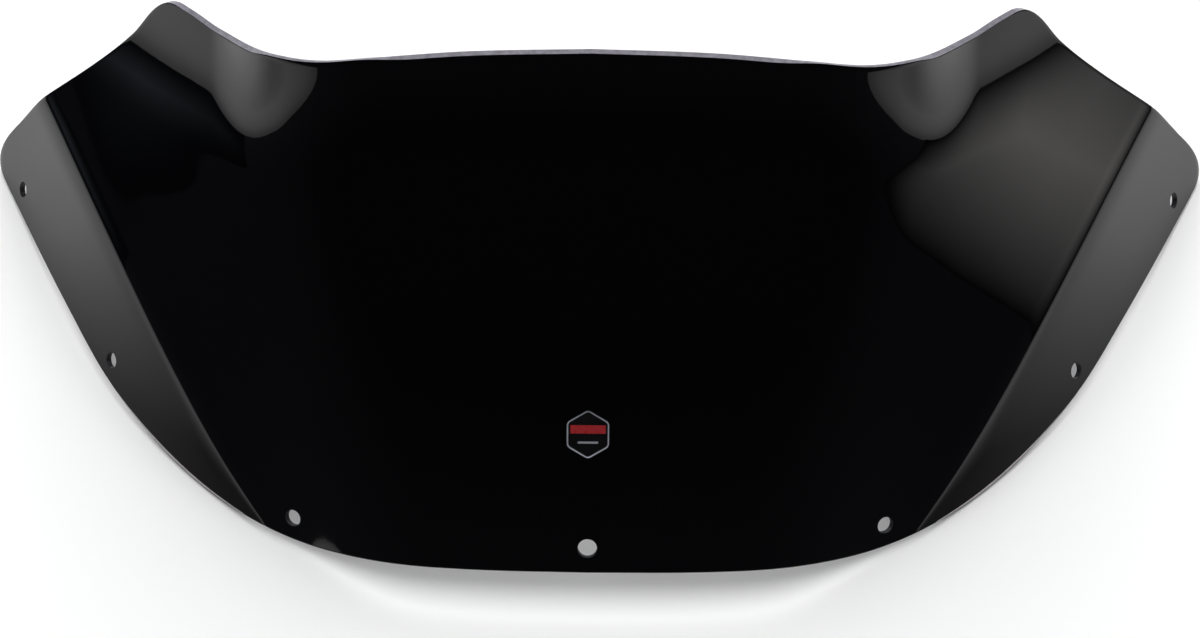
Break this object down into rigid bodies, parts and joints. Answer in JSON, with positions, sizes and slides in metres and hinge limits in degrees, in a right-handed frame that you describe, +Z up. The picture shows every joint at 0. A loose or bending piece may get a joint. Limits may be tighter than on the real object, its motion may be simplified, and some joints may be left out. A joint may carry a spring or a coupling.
{
  "type": "motorcycle windshield screen",
  "caption": "Wrap-around fairing windshield screen: one curved black sheet with side flanges, a flared top lip with two horns, edge screw holes and a small domed emblem.",
  "frame": {"origin": "the middle of the bounding box at floor level: the screen lies at rest on its back edges, with its lower side edges and outer corners on the plane z = 0", "axes": "+X across the screen to the right as seen from the front, +Y towards the back where the outer corners are, +Z up; the front of the sheet looks to -Y and upwards, leaned back 34.8 degrees from lying face up"},
  "size_m": [0.6796, 0.2745, 0.1947],
  "materials": {
    "screen_sheet": "high gloss, opaque black",
    "emblem_adhesive": "matte foam tape",
    "emblem_black": "printed film",
    "emblem_silver": "metallised print",
    "emblem_red": "printed film",
    "emblem_resin": "clear domed resin"
  },
  "bodies": {
    "root": {"screen": "screen_sheet", "emblem_adhesive": "emblem_adhesive", "emblem_foil": "emblem_black", "emblem_outline": "emblem_silver", "emblem_band": "emblem_red", "emblem_line": "emblem_silver", "emblem_dome": "emblem_resin"}
  },
  "joints": []
}
